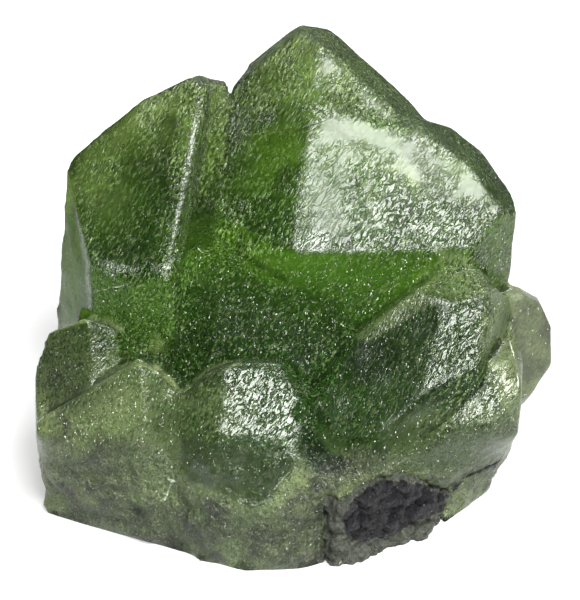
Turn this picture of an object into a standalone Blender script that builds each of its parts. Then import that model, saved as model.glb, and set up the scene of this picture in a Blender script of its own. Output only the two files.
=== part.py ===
"""Peridot crystal: a loose cluster of intergrown olivine crystals with a lump of black matrix.

The crystals overlap and are joined in one solid, cut flat underneath, which rests on the cut.
The matrix sits in a pocket low on the right of the cluster's front.

Places on the crystals are given in millimetres in a view frame: across (to the right), up,
and out towards a viewer who looks down on the cluster. Places on the back are given in a
standing frame: across, back and height above the cut. A face is set by its heading and its
climb in degrees: heading 0 looks to the front, +90 to the right, and climb 90 looks up.
"""

import math

import bmesh
import bpy
from mathutils import Matrix, Vector, noise

# Driving dimensions in millimetres and degrees
MM = 0.001
VIEW_DOWN = 35.0
EYE_DISTANCE = 320.0
VIEW_HEIGHT = 19.0
BLOCK_SIZE = 120.0
CUT_TOLERANCE = 0.001
SHORTEST_EDGE = 0.02
ROOT_DEPTH = 2.0
ROOT_STEP = 0.15
MATRIX_GAP = 0.3
MATRIX_DEPTH = 4.5
MATRIX_GRAIN = 0.9
MATRIX_ROUGH = 0.55
POCKET_OPENING = 6.0

# Heading and climb shared by the faces that grew parallel in the crystals on the front
GLINT = (12, 48)

PERIDOT_GREEN = (0.13, 0.25, 0.035, 1.0)
MATRIX_BLACK = (0.030, 0.031, 0.027, 1.0)


# Frames
def view_to_stand(direction):
    across, up, out = direction
    s = math.sin(math.radians(VIEW_DOWN))
    c = math.cos(math.radians(VIEW_DOWN))
    return Vector((across, up * s - out * c, up * c + out * s))


STAND_VIEW_ORIGIN = Vector((0, 0, VIEW_HEIGHT))
EYE = view_to_stand((0, 0, EYE_DISTANCE)) + STAND_VIEW_ORIGIN


def outward(heading, climb):
    h = math.radians(heading)
    c = math.radians(climb)
    return Vector((math.cos(c) * math.sin(h), -math.cos(c) * math.cos(h), math.sin(c)))


def view_place(across, up, out):
    nearer = 1 - out / EYE_DISTANCE
    return view_to_stand((across * nearer, up * nearer, out)) + STAND_VIEW_ORIGIN


class Crystal:
    """A block that flat faces cut down to one crystal."""

    def __init__(self):
        self.planes = {}

    def face(self, label, heading_climb, place):
        """A face through a place of the view frame."""
        self.planes[label] = (view_place(*place), outward(*heading_climb))

    def back_face(self, label, heading_climb, place):
        """A face through a place of the standing frame."""
        self.planes[label] = (Vector(place), outward(*heading_climb))

    def seen(self, label, across, up):
        """The place on a face that the viewer sees at a place of the view."""
        place, normal = self.planes[label]
        ray = view_to_stand((across, up, -EYE_DISTANCE))
        return EYE + ray * ((place - EYE).dot(normal) / ray.dot(normal))

    def edge(self, label, neighbour, start, end, turn):
        """A face that meets its neighbour along an edge and turns away from it.

        The edge runs clockwise round the neighbour's outline, and turn is in degrees.
        """
        a = self.seen(neighbour, *start)
        b = self.seen(neighbour, *end)
        along = (b - a).normalized()
        turned = Matrix.Rotation(math.radians(-turn), 3, along) @ self.planes[neighbour][1]
        self.planes[label] = ((a + b) / 2, turned)

    def solid(self, depth, grow=0.0, opened=()):
        """The closed mesh down to a depth below the foot, its faces moved out by grow."""
        bm = bmesh.new()
        bmesh.ops.create_cube(bm, size=BLOCK_SIZE)
        for label, (place, normal) in self.planes.items():
            shift = POCKET_OPENING if label in opened else grow
            cut(bm, place + normal * shift, normal)
        cut(bm, Vector((0, 0, -depth)), Vector((0, 0, -1)))
        bmesh.ops.remove_doubles(bm, verts=bm.verts, dist=SHORTEST_EDGE)
        bmesh.ops.recalc_face_normals(bm, faces=bm.faces)
        return bm


def cut(bm, place, normal):
    geometry = [*bm.verts, *bm.edges, *bm.faces]
    bmesh.ops.bisect_plane(
        bm, geom=geometry, dist=CUT_TOLERANCE, plane_co=place, plane_no=normal, clear_outer=True
    )
    rim = [e for e in bm.edges if e.is_boundary]
    if rim:
        bmesh.ops.holes_fill(bm, edges=rim, sides=0)


# Crystals seen on the front
def tall_crystal():
    c = Crystal()
    c.face("right", GLINT, (-0.1, 4.6, 0.5))
    c.edge("left", "right", (-0.1, 4.6), (1.9, 20.4), 34)
    c.edge("crown", "right", (0.4, 21.8), (2.8, 21.3), 46)
    c.edge("crown back", "right", (0.2, 23.4), (2.8, 23.2), 84)
    c.edge("bevel right", "right", (2.6, 21.2), (9.7, 14.9), 46)
    c.edge("rim right", "right", (3.4, 22.8), (10.6, 16.5), 82)
    c.edge("rim low", "right", (10.4, 16.0), (13.4, 12.0), 76)
    c.edge("bevel left", "left", (-4.9, 17.9), (-0.6, 21.5), 44)
    c.edge("rim left", "left", (-5.7, 18.9), (-1.3, 22.9), 82)
    c.edge("notch left", "left", (-6.0, 15.8), (-4.9, 18.2), 72)
    c.edge("flank left", "left", (-8.2, 5.0), (-6.0, 15.8), 76)
    c.edge("band", "right", (15.0, 4.2), (0.0, 4.2), 27)
    c.edge("band left", "left", (-0.1, 4.4), (-8.3, 4.7), 28)
    c.face("flank right", (75, -6), (15.0, 5.0, -5.0))
    c.back_face("back", (180, 3), (0, 21.0, 12))
    c.back_face("back slope", (176, 42), (1, 18.9, 35.3))
    c.back_face("back left", (-140, 3), (-7.0, 17.2, 15))
    c.back_face("back left slope", (-134, 40), (-3.6, 18.3, 33.0))
    c.back_face("back right", (125, 3), (13.0, 15.0, 15))
    c.back_face("back right slope", (128, 40), (8.3, 17.2, 30.9))
    return c


def shoulder_crystal():
    c = Crystal()
    c.face("right", GLINT, (-0.1, 4.6, 1.0))
    c.edge("left", "right", (-0.1, 4.6), (1.4, 16.0), 34)
    c.edge("step", "right", (1.4, 16.0), (10.9, 14.2), 35)
    c.edge("bevel right", "right", (12.4, 13.1), (14.6, 11.5), 44)
    c.edge("bevel low", "right", (14.6, 11.5), (17.4, 7.6), 46)
    c.edge("rim high", "right", (10.6, 15.2), (13.4, 14.4), 74)
    c.edge("rim right", "right", (13.8, 14.4), (15.8, 12.8), 80)
    c.edge("rim low", "right", (15.8, 12.9), (18.5, 9.0), 82)
    c.edge("step left", "left", (-6.5, 14.0), (1.4, 16.0), 35)
    c.edge("side", "right", (17.2, 7.0), (15.2, 4.6), 58)
    c.edge("band", "right", (15.1, 4.3), (0.4, 4.1), 27)
    c.edge("band left", "left", (-0.1, 4.3), (-8.3, 4.6), 28)
    c.edge("flank left", "left", (-8.2, 5.0), (-6.6, 14.0), 76)
    c.face("side back", (100, -5), (17.7, 3.0, -8.0))
    c.back_face("back", (172, 3), (10.0, 17.6, 15.0))
    c.back_face("back slope", (150, 45), (12.0, 15.5, 27.0))
    c.back_face("back left", (-130, 2), (-5.0, 16.0, 20.0))
    c.face("foot", (0, -20), (8.0, -6.0, -4.0))
    return c


def left_crystal():
    c = Crystal()
    c.face("strip", GLINT, (-8.7, 9.2, -1.5))
    c.edge("front", "strip", (-11.0, 3.2), (-8.1, 17.3), 30)
    c.edge("valley", "strip", (-7.3, 17.3), (-10.1, 3.2), 62)
    c.edge("rim low", "front", (-19.4, 10.4), (-17.8, 12.9), 66)
    c.edge("rim left", "front", (-17.4, 12.9), (-12.5, 16.8), 66)
    c.edge("rim high", "front", (-12.4, 16.8), (-8.6, 18.7), 66)
    c.edge("top", "strip", (-8.4, 18.3), (-6.9, 17.8), 60)
    c.edge("side", "front", (-16.8, 3.0), (-18.6, 9.9), 55)
    c.edge("low left", "front", (-13.7, 1.8), (-16.8, 3.2), 40)
    c.edge("low", "front", (-10.2, 2.2), (-13.7, 1.7), 42)
    c.face("right", (75, -6), (-6.8, 8.0, -6.0))
    c.back_face("back", (180, 0), (-12.0, 17.0, 15.0))
    c.back_face("back slope", (190, 46), (-10.0, 16.6, 30.6))
    c.face("back side", (-112, 5), (-21.6, -1.0, -9.0))
    c.face("foot", (0, -20), (-12.0, -8.0, -4.0))
    return c


def middle_crystal():
    c = Crystal()
    c.face("front", (6, 24), (-3.7, 2.5, 1.4))
    c.edge("left", "front", (-7.0, -4.0), (-6.4, 2.8), 42)
    c.edge("top", "front", (-6.4, 2.9), (-0.5, 1.2), 70)
    c.edge("top right", "front", (-0.5, 1.2), (5.1, -2.7), 70)
    c.edge("top left", "left", (-8.6, 4.2), (-6.4, 2.9), 70)
    c.edge("edge left", "left", (-11.5, -1.0), (-8.6, 4.2), 55)
    c.face("flank", (70, 0), (7.0, -4.0, -2.0))
    c.face("side", (-80, 0), (-12.5, -4.0, -4.0))
    c.face("back", (180, 0), (0.0, 0.0, -12.0))
    c.face("foot", (0, -25), (-4.0, -9.0, 2.0))
    return c


def far_left_crystal():
    c = Crystal()
    c.face("right", (28, 26), (-17.1, -4.0, -2.0))
    c.edge("left", "right", (-17.0, -7.0), (-17.2, -1.5), 55)
    c.edge("rim right", "right", (-17.2, -1.6), (-14.1, -2.7), 86)
    c.edge("rim low right", "right", (-14.1, -2.7), (-10.6, -6.1), 84)
    c.edge("rim left", "left", (-20.4, -2.7), (-17.4, -1.4), 88)
    c.edge("rim low left", "left", (-21.4, -5.2), (-20.4, -2.7), 84)
    c.face("side", (-90, 0), (-21.3, -6.0, -9.0))
    c.face("inner", (80, 0), (-10.0, -6.0, -2.0))
    c.face("back", (180, 0), (-17.0, -5.0, -14.0))
    c.face("foot", (0, -25), (-17.0, -10.0, -2.0))
    return c


def front_left_crystal():
    c = Crystal()
    c.face("right", (33, 27), (-12.7, -7.0, 2.0))
    c.edge("left", "right", (-12.5, -10.0), (-12.8, -5.3), 45)
    c.edge("rim low left", "left", (-21.0, -9.7), (-18.5, -8.3), 84)
    c.edge("rim left", "left", (-18.5, -8.3), (-14.5, -5.9), 86)
    c.edge("rim high", "left", (-14.5, -5.9), (-12.8, -5.3), 82)
    c.edge("rim right", "right", (-12.8, -5.3), (-11.0, -6.0), 80)
    c.edge("rim low right", "right", (-11.0, -6.0), (-8.8, -8.5), 82)
    c.edge("low right", "right", (-6.0, -13.5), (-12.6, -13.0), 20)
    c.edge("low left", "left", (-12.6, -13.0), (-21.0, -12.0), 25)
    c.face("side", (-92, -3), (-20.8, -11.0, -6.0))
    c.face("inner", (70, 0), (-6.5, -10.0, 0.0))
    c.face("back", (180, 0), (-12.0, -8.0, -8.0))
    c.face("foot", (-24, -10), (-14.0, -18.0, -3.0))
    return c


def front_middle_crystal():
    c = Crystal()
    c.face("bright", GLINT, (-3.0, -9.0, 3.0))
    c.edge("left", "bright", (-6.5, -12.7), (-5.9, -6.5), 32)
    c.edge("low", "bright", (1.0, -12.6), (-6.5, -12.7), 38)
    c.edge("flank", "bright", (1.0, -8.4), (1.4, -11.5), 50)
    c.edge("rim low left", "left", (-9.1, -7.9), (-7.3, -6.0), 62)
    c.edge("rim left", "left", (-7.3, -6.0), (-5.0, -5.2), 62)
    c.edge("rim high", "bright", (-5.0, -5.2), (-1.2, -5.5), 62)
    c.edge("rim right", "bright", (-1.2, -5.5), (0.9, -8.2), 58)
    c.edge("low left", "left", (-6.5, -12.7), (-10.0, -12.0), 35)
    c.edge("diagonal", "low", (1.2, -13.2), (-3.6, -17.8), 40)
    c.face("inner", (-70, 0), (-10.0, -10.0, 0.0))
    c.face("back", (180, 0), (-3.0, -8.0, -8.0))
    c.face("foot", (-6, -10), (-4.0, -20.5, 0.2))
    return c


def front_right_crystal():
    c = Crystal()
    c.face("bright", GLINT, (12.4, -3.5, 2.0))
    c.edge("dark", "bright", (11.3, -6.7), (12.9, 0.5), 24)
    c.edge("crown", "bright", (11.8, -1.1), (16.3, -0.1), 17)
    c.edge("rim left", "dark", (5.1, -2.9), (12.6, 2.8), 66)
    c.edge("rim low left", "dark", (1.2, -8.8), (5.1, -2.9), 62)
    c.edge("rim high", "bright", (12.6, 2.8), (14.6, 2.5), 60)
    c.edge("rim right", "bright", (14.6, 2.5), (16.1, 0.3), 60)
    c.edge("flank", "bright", (16.1, 0.3), (15.6, -4.8), 50)
    c.edge("low", "bright", (15.2, -5.5), (11.0, -7.5), 40)
    c.edge("low dark", "dark", (12.0, -10.5), (3.0, -14.0), 35)
    c.face("side", (72, -4), (16.8, -2.5, -1.5))
    c.face("inner", (-70, 0), (1.2, -9.0, 0.0))
    c.face("back", (180, 0), (9.0, -5.0, -9.0))
    c.face("foot", (10, -30), (9.0, -13.5, 3.5))
    return c


def low_right_crystal():
    c = Crystal()
    c.face("bright", GLINT, (17.0, -7.0, 0.6))
    c.edge("left", "bright", (13.5, -10.4), (15.8, -5.9), 28)
    c.edge("rim high", "bright", (15.6, -5.2), (18.0, -4.9), 55)
    c.edge("rim right", "bright", (18.0, -4.9), (18.7, -6.5), 58)
    c.edge("flank", "bright", (18.9, -7.5), (16.2, -10.4), 50)
    c.edge("low", "bright", (16.2, -10.3), (13.0, -10.5), 45)
    c.face("side", (88, -4), (18.7, -9.0, -3.0))
    c.face("low side", (62, -25), (17.8, -12.5, -3.0))
    c.face("inner", (-70, 0), (9.0, -9.0, 0.0))
    c.face("back", (150, 0), (16.0, -7.0, -8.0))
    c.face("foot", (20, -35), (14.0, -12.7, 1.0))
    return c


def far_right_crystal():
    c = Crystal()
    c.face("front", (25, 20), (19.5, -3.0, -7.0))
    c.edge("rim high", "front", (17.3, 0.2), (18.4, 0.3), 80)
    c.edge("rim top right", "front", (18.6, 0.6), (20.5, -0.3), 76)
    c.edge("rim right", "front", (20.6, -0.4), (21.4, -2.1), 72)
    c.edge("rim side", "front", (21.4, -2.2), (21.5, -5.5), 70)
    c.edge("rim low right", "front", (21.4, -5.3), (20.0, -7.4), 66)
    c.edge("low", "front", (20.1, -7.6), (17.5, -8.6), 50)
    c.face("inner", (-90, 0), (13.0, -3.0, -10.0))
    c.face("back", (165, 10), (19.0, -3.0, -12.5))
    return c


# Grown masses round the base
def base_left():
    c = Crystal()
    c.face("front", (-24, 8), (-13.7, -19.0, -4.2))
    c.face("side", (-90, -4), (-20.9, -13.0, -7.5))
    c.face("corner", (-50, -6), (-20.9, -16.3, -5.9))
    c.face("top", (-25, 70), (-14.0, -12.6, -0.5))
    c.face("right", (60, 0), (-4.8, -18.0, -2.0))
    c.face("inner", (110, 0), (-3.5, -16.0, -3.0))
    c.face("back", (180, 0), (-12.0, -12.0, -8.0))
    return c


def base_middle():
    c = Crystal()
    c.face("front", (5, 14), (0.5, -17.0, 2.2))
    c.edge("left", "front", (-3.0, -20.0), (-3.2, -17.6), 35)
    c.edge("top left", "front", (-3.4, -17.6), (0.4, -13.9), 45)
    c.edge("top", "front", (0.4, -13.9), (5.0, -14.2), 60)
    c.edge("foot", "front", (4.0, -20.5), (-4.0, -20.5), 22)
    c.face("right", (70, 5), (4.3, -19.0, -1.0))
    c.face("corner", (27, 0), (2.7, -22.0, -2.0))
    c.face("inner", (-70, 0), (-7.5, -20.0, 0.0))
    c.face("back", (180, 0), (2.0, -15.0, -4.0))
    return c


def base_right():
    c = Crystal()
    c.face("left", (27, -6), (7.75, -20.5, -3.9))
    c.face("front", (50, -6), (13.8, -17.9, -7.6))
    c.face("flank", (80, -6), (16.6, -14.6, -10.6))
    c.edge("top", "front", (11.0, -12.9), (17.0, -12.4), 72)
    c.edge("top left", "left", (3.6, -14.6), (11.0, -13.1), 76)
    c.face("inner", (-60, 0), (0.0, -16.0, -5.0))
    c.face("back", (180, 0), (10.0, -12.0, -8.0))
    return c


def grown_middle():
    """The mass that the crystals share, wholly within them."""
    c = Crystal()
    c.face("slope", (6, 38), (0.0, 0.0, -3.5))
    c.face("front", (5, 0), (0.0, -15.0, -2.6))
    c.face("front left", (-40, 0), (-12.0, -12.0, -3.5))
    c.face("front right", (45, 0), (12.0, -12.0, -4.5))
    c.face("left", (-88, 0), (-11.5, -8.0, -6.0))
    c.face("right", (88, 0), (14.0, -8.0, -7.0))
    c.back_face("top", (0, 90), (0.0, 5.0, 18.5))
    c.back_face("back", (180, 0), (0.0, 15.0, 8.0))
    c.back_face("back left", (-130, 0), (-14.0, 11.0, 8.0))
    c.back_face("back right", (130, 0), (13.0, 12.0, 8.0))
    return c


# Crystals on the back, out of the viewer's sight
def back_left_crystal():
    c = Crystal()
    c.back_face("back", (196, 4), (-11.0, 20.5, 6.0))
    c.back_face("left", (-112, 4), (-18.2, 13.0, 6.0))
    c.back_face("right", (118, 2), (-2.5, 17.5, 6.0))
    c.back_face("slope", (188, 46), (-10.0, 17.8, 18.5))
    c.back_face("slope left", (-128, 44), (-15.5, 15.0, 17.0))
    c.back_face("slope right", (112, 50), (-4.5, 15.5, 17.5))
    c.back_face("front", (0, 0), (-10.0, 13.0, 8.0))
    return c


def back_right_crystal():
    c = Crystal()
    c.back_face("back", (168, 5), (8.5, 21.8, 5.0))
    c.back_face("right", (104, 3), (17.8, 12.0, 5.0))
    c.back_face("left", (-124, 4), (1.5, 18.5, 5.0))
    c.back_face("slope", (172, 48), (9.0, 18.4, 14.0))
    c.back_face("slope right", (112, 46), (15.2, 15.0, 13.5))
    c.back_face("slope left", (-118, 52), (4.0, 16.5, 13.5))
    c.back_face("front", (0, 0), (9.0, 11.0, 5.0))
    return c


def back_low_crystal():
    c = Crystal()
    c.back_face("back", (186, 3), (-1.0, 23.2, 2.0))
    c.back_face("left", (-116, 6), (-6.6, 20.5, 3.0))
    c.back_face("right", (122, 6), (4.6, 21.0, 3.0))
    c.back_face("slope", (180, 54), (-1.0, 20.6, 8.6))
    c.back_face("slope left", (-104, 50), (-4.4, 18.5, 8.4))
    c.back_face("slope right", (106, 56), (2.6, 18.5, 8.4))
    c.back_face("front", (0, 0), (0.0, 15.0, 4.0))
    return c


def back_corner_left():
    c = Crystal()
    c.back_face("back", (205, -4), (-16.5, 18.4, 5.0))
    c.back_face("left", (-98, -3), (-20.3, 12.0, 4.0))
    c.back_face("right", (140, 10), (-11.0, 18.2, 5.0))
    c.back_face("slope", (196, 52), (-16.0, 16.0, 11.4))
    c.back_face("slope left", (-118, 52), (-19.0, 14.0, 10.4))
    c.back_face("slope right", (100, 52), (-13.5, 15.0, 11.2))
    c.back_face("front", (-20, 0), (-18.0, 10.5, 5.0))
    return c


def back_corner_right():
    c = Crystal()
    c.back_face("back", (158, -5), (14.8, 20.0, 3.0))
    c.back_face("right", (96, -4), (19.6, 13.0, 3.0))
    c.back_face("left", (-150, 8), (11.2, 20.8, 3.0))
    c.back_face("slope", (162, 52), (15.0, 17.6, 8.6))
    c.back_face("slope right", (100, 42), (18.0, 13.0, 8.4))
    c.back_face("slope left", (-110, 58), (12.4, 17.0, 8.6))
    c.back_face("front", (25, 0), (17.0, 11.5, 3.0))
    return c


CRYSTALS = (
    tall_crystal,
    shoulder_crystal,
    left_crystal,
    middle_crystal,
    far_left_crystal,
    front_left_crystal,
    front_middle_crystal,
    front_right_crystal,
    low_right_crystal,
    far_right_crystal,
    base_left,
    base_middle,
    base_right,
    grown_middle,
    back_left_crystal,
    back_right_crystal,
    back_low_crystal,
    back_corner_left,
    back_corner_right,
)


# Black matrix, a lump grown into the foot of the cluster
MATRIX_FRONT = "front"
MATRIX_SIDE = "front right"


def matrix_block():
    c = Crystal()
    c.face(MATRIX_FRONT, (29, -5), (7.75, -20.3, -3.5))
    c.edge(MATRIX_SIDE, MATRIX_FRONT, (10.9, -15.6), (10.6, -19.4), 18)
    c.edge("left", MATRIX_FRONT, (3.5, -20.6), (3.9, -17.2), 82)
    c.edge("top left", MATRIX_FRONT, (3.9, -17.2), (6.8, -15.3), 84)
    c.edge("top", MATRIX_FRONT, (6.8, -15.3), (10.0, -15.0), 84)
    c.edge("top right", MATRIX_SIDE, (10.0, -15.0), (12.8, -16.0), 84)
    c.edge("right", MATRIX_SIDE, (12.8, -16.0), (12.0, -18.4), 84)
    front_place, front_normal = c.planes[MATRIX_FRONT]
    c.planes["back"] = (front_place - front_normal * MATRIX_DEPTH, -front_normal)
    return c


def roughen(bm, normals):
    """Break the lump's seen faces up in grains, and leave its sides and its foot flat."""
    bmesh.ops.triangulate(bm, faces=bm.faces)
    shown = [f for f in bm.faces if any(f.normal.dot(n) > 0.999 for n in normals)]
    for _ in range(6):
        long = [e for e in {e for f in shown for e in f.edges} if e.calc_length() > MATRIX_GRAIN]
        if not long:
            break
        bmesh.ops.subdivide_edges(bm, edges=long, cuts=1)
        bmesh.ops.triangulate(bm, faces=[f for f in bm.faces if len(f.verts) > 3])
        shown = [f for f in bm.faces if any(f.normal.dot(n) > 0.999 for n in normals)]
    shown = set(shown)
    inside = [v for v in bm.verts if v.link_faces and all(f in shown for f in v.link_faces)]
    for v in inside:
        grain = noise.noise(v.co * 0.9) + 0.6 * noise.noise(v.co * 2.1)
        v.co -= v.normal * MATRIX_ROUGH * (0.25 + grain)


# Assembly
def material(name, colour, roughness):
    m = bpy.data.materials.new(name)
    m.use_nodes = True
    shader = m.node_tree.nodes["Principled BSDF"]
    shader.inputs["Base Color"].default_value = colour
    shader.inputs["Roughness"].default_value = roughness
    shader.inputs["Metallic"].default_value = 0.0
    m.diffuse_color = colour
    return m


def place_mesh(name, bm, centre):
    """An object of the mesh in metres, with the middle of the cluster's foot at the origin."""
    bmesh.ops.translate(bm, verts=bm.verts, vec=-centre)
    bmesh.ops.scale(bm, verts=bm.verts, vec=(MM, MM, MM))
    mesh = bpy.data.meshes.new(name)
    bm.to_mesh(mesh)
    bm.free()
    thing = bpy.data.objects.new(name, mesh)
    bpy.context.scene.collection.objects.link(thing)
    return thing


def make_tool(thing):
    thing.hide_render = True
    thing.display_type = "WIRE"


def combine(target, tool, operation):
    step = target.modifiers.new(tool.name, "BOOLEAN")
    step.operation = operation
    step.solver = "EXACT"
    step.object = tool


def clear_scene():
    for thing in list(bpy.data.objects):
        bpy.data.objects.remove(thing, do_unlink=True)


def middle_of_foot(solids):
    """The middle of the cluster's outline, seen from above, over what stands above the foot."""
    places = [v.co for bm in solids for v in bm.verts if v.co.z > 0]
    for bm in solids:
        for e in bm.edges:
            a, b = e.verts[0].co, e.verts[1].co
            if a.z * b.z < 0:
                places.append(a.lerp(b, a.z / (a.z - b.z)))
    across = [p.x for p in places]
    back = [p.y for p in places]
    return Vector(((min(across) + max(across)) / 2, (min(back) + max(back)) / 2, 0))


def ground_block(centre):
    """What is cut away under the foot."""
    bm = bmesh.new()
    bmesh.ops.create_cube(bm, size=BLOCK_SIZE)
    bmesh.ops.translate(bm, verts=bm.verts, vec=centre - Vector((0, 0, BLOCK_SIZE / 2)))
    return place_mesh("ground", bm, centre)


def build():
    clear_scene()
    solids = [make().solid(ROOT_DEPTH + ROOT_STEP * i) for i, make in enumerate(CRYSTALS)]
    centre = middle_of_foot(solids)

    cluster = place_mesh("peridot_cluster", solids[0], centre)
    cluster.data.materials.append(material("peridot", PERIDOT_GREEN, 0.25))
    for make, bm in zip(CRYSTALS[1:], solids[1:]):
        crystal = place_mesh("crystal_" + make.__name__, bm, centre)
        make_tool(crystal)
        combine(cluster, crystal, "UNION")

    block = matrix_block()
    opened = (MATRIX_FRONT, MATRIX_SIDE)
    pocket = place_mesh("matrix_pocket", block.solid(ROOT_DEPTH, MATRIX_GAP, opened), centre)
    ground = ground_block(centre)
    for tool in (pocket, ground):
        make_tool(tool)
        combine(cluster, tool, "DIFFERENCE")

    lump = block.solid(0.0)
    roughen(lump, [block.planes[MATRIX_FRONT][1], block.planes[MATRIX_SIDE][1]])
    matrix = place_mesh("dark_matrix", lump, centre)
    matrix.data.materials.append(material("matrix", MATRIX_BLACK, 0.85))


build()
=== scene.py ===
"""Peridot crystal: the look of an intergrown olivine cluster with a lump of black matrix.

Lengths are in metres unless a name ends in _mm. Places on the cluster's front are given in a
view frame in millimetres: across to the right and up, as the viewer sees them, from the point
that the camera looks at.
"""

import math

import bmesh
import bpy
import numpy as np
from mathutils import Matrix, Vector, noise
from mathutils.bvhtree import BVHTree


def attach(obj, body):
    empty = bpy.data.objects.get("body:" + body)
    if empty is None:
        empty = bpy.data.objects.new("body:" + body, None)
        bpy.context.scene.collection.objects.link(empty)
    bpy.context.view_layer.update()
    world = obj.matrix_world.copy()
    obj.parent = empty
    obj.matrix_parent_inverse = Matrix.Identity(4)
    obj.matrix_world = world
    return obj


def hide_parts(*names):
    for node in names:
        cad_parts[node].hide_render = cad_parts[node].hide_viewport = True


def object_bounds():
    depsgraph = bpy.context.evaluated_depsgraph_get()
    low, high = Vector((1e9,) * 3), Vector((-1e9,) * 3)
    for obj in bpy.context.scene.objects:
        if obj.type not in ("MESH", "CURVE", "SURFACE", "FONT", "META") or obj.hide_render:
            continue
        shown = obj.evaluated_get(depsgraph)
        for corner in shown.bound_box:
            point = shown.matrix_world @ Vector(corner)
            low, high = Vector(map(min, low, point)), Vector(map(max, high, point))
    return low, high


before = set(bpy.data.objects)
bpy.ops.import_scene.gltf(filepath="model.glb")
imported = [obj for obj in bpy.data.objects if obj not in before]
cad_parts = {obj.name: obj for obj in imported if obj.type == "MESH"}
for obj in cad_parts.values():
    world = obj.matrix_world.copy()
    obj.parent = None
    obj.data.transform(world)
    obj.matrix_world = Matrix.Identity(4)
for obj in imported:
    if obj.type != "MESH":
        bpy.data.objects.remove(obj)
CAD_LOW, CAD_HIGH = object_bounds()

MM = 0.001
VIEW_DOWN = math.radians(35.0)
EYE_DISTANCE = 0.320
VIEW_ORIGIN = Vector((-0.00008, -0.005341, 0.0190))
ACROSS = Vector((1, 0, 0))
UP = Vector((0, math.sin(VIEW_DOWN), math.cos(VIEW_DOWN)))
OUT = Vector((0, -math.cos(VIEW_DOWN), math.sin(VIEW_DOWN)))
EYE = VIEW_ORIGIN + OUT * EYE_DISTANCE
FIELD_MM = 50.0
SENSOR = 36.0

CELL_MM = 0.276
GLINT = Vector((0.139, -0.6545, 0.743)).normalized()
FOLD = Vector((0.0, -0.94, 0.34))
BACK_GLINT = Vector((-0.03, 0.731, 0.682)).normalized()


# Frames and directions
def toward(azimuth, elevation):
    a = math.radians(azimuth)
    e = math.radians(elevation)
    return Vector((math.cos(e) * math.sin(a), -math.cos(e) * math.cos(a), math.sin(e)))


def view_places(points):
    """Across and up in the view frame, in millimetres, of an array of points."""
    d = points - np.array(EYE)
    depth = -(d @ np.array(OUT))
    scale = EYE_DISTANCE / depth / MM
    return (d @ np.array(ACROSS)) * scale, (d @ np.array(UP)) * scale


def seen_on(trees, across, up):
    """The nearest point and normal that the viewer sees at a place of the view frame, if any."""
    target = VIEW_ORIGIN + ACROSS * across * MM + UP * up * MM
    found = [tree.ray_cast(EYE, (target - EYE).normalized()) for tree in trees]
    found = [(distance, hit, normal) for hit, normal, _, distance in found if hit is not None]
    return min(found, key=lambda entry: entry[0])[1:] if found else (None, None)


# Meshes
def link(thing):
    bpy.context.scene.collection.objects.link(thing)
    return thing


def remeshed(node, name, cell_mm):
    """A copy of a frame node as an even, closed mesh."""
    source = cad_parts[node]
    rough = link(bpy.data.objects.new(name + "_rough", source.data.copy()))
    step = rough.modifiers.new("cells", "REMESH")
    step.mode = "VOXEL"
    step.voxel_size = cell_mm * MM
    step.adaptivity = 0
    graph = bpy.context.evaluated_depsgraph_get()
    mesh = bpy.data.meshes.new_from_object(rough.evaluated_get(graph))
    bpy.data.objects.remove(rough, do_unlink=True)
    mesh.name = name
    mesh.materials.clear()
    return link(bpy.data.objects.new(name, mesh))


def get_points(mesh):
    co = np.empty(len(mesh.vertices) * 3)
    mesh.vertices.foreach_get("co", co)
    return co.reshape(-1, 3)


def set_points(mesh, co):
    mesh.vertices.foreach_set("co", co.astype(np.float32).ravel())
    mesh.update()


def get_edges(mesh):
    e = np.empty(len(mesh.edges) * 2, dtype=np.int64)
    mesh.edges.foreach_get("vertices", e)
    return e.reshape(-1, 2)


def averaged(values, edges, count):
    """The mean of each point's neighbours."""
    ends = np.concatenate([edges[:, 0], edges[:, 1]])
    others = np.concatenate([edges[:, 1], edges[:, 0]])
    sums = [np.bincount(ends, column[others], len(values)) for column in values.T]
    return np.stack(sums, axis=1) / count


def smoothed(co, edges, rounds, share=0.5):
    count = np.bincount(edges.ravel(), minlength=len(co)).astype(float)[:, None]
    for _ in range(rounds):
        co = co * (1 - share) + averaged(co, edges, count) * share
    return co


def creases(co, n, edges, cell_mm):
    """How sharply the surface is folded inwards, from 0 to 1."""
    count = np.bincount(edges.ravel(), minlength=len(co)).astype(float)[:, None]
    near = averaged(co, edges, count)
    fold = ((near - co) * n).sum(axis=1)[:, None] / (cell_mm * MM)
    for _ in range(2):
        fold = fold * 0.5 + averaged(fold, edges, count) * 0.5
    return step_up(fold[:, 0], 0.02, 0.07)


def normals_of(mesh):
    n = np.empty(len(mesh.vertices) * 3)
    mesh.vertex_normals.foreach_get("vector", n)
    return n.reshape(-1, 3)


def add_attribute(mesh, name, values):
    a = mesh.attributes.new(name, "FLOAT", "POINT")
    a.data.foreach_set("value", values.astype(np.float32))


def noise_at(co_mm, scale, offset=0.0):
    shift = Vector((offset, offset * 1.7, offset * 2.3))
    return np.array([noise.noise(Vector(p) * scale + shift) for p in co_mm])


def step_up(x, low, high):
    t = np.clip((x - low) / (high - low), 0, 1)
    return t * t * (3 - 2 * t)


def outline_distance(x, y, outline):
    """Distance of places from a closed outline, in millimetres, less than zero inside."""
    nearest = np.full(len(x), 1e9)
    inside = np.zeros(len(x), dtype=bool)
    for (ax, ay), (bx, by) in zip(outline, [*outline[1:], outline[0]]):
        ex = bx - ax
        ey = by - ay
        along = np.clip(((x - ax) * ex + (y - ay) * ey) / (ex * ex + ey * ey), 0, 1)
        nearest = np.minimum(nearest, np.hypot(x - ax - along * ex, y - ay - along * ey))
        if ay != by:
            crossed = (ay > y) != (by > y)
            inside ^= crossed & (x < ax + (y - ay) * ex / ey)
    return np.where(inside, -nearest, nearest)


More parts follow.
